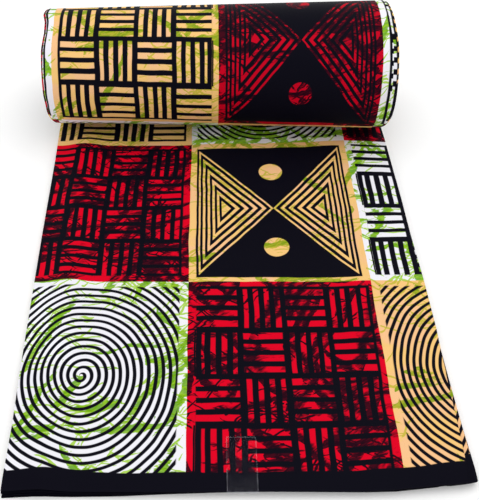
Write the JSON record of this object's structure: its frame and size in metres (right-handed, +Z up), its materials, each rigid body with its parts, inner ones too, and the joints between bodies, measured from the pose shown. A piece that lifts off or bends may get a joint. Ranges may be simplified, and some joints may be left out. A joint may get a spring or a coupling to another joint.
{
  "type": "wax print fabric",
  "caption": "Length of wax print cotton cloth, zigzag-folded and rolled up from one selvedge, with a flat panel lying in front of the roll.",
  "frame": {"origin": "middle of the base of the whole bundle", "axes": "+Z up; +Y from the flat panel's front selvedge towards the roll; +X to the right when seen from the front, along the cut's length"},
  "size_m": [0.4117, 0.5893, 0.1487],
  "materials": {
    "printed_cotton": "smooth wax print with a faint sheen",
    "folded_cotton": "folded edges of the same printed cotton",
    "clear_tape": "thin clear adhesive film"
  },
  "bodies": {
    "root": {"top_leaf": "printed_cotton", "hidden_leaves": "folded_cotton", "roll_leaf": "printed_cotton", "rolled_hidden_leaves": "folded_cotton", "clear_tape": "clear_tape"}
  },
  "joints": []
}
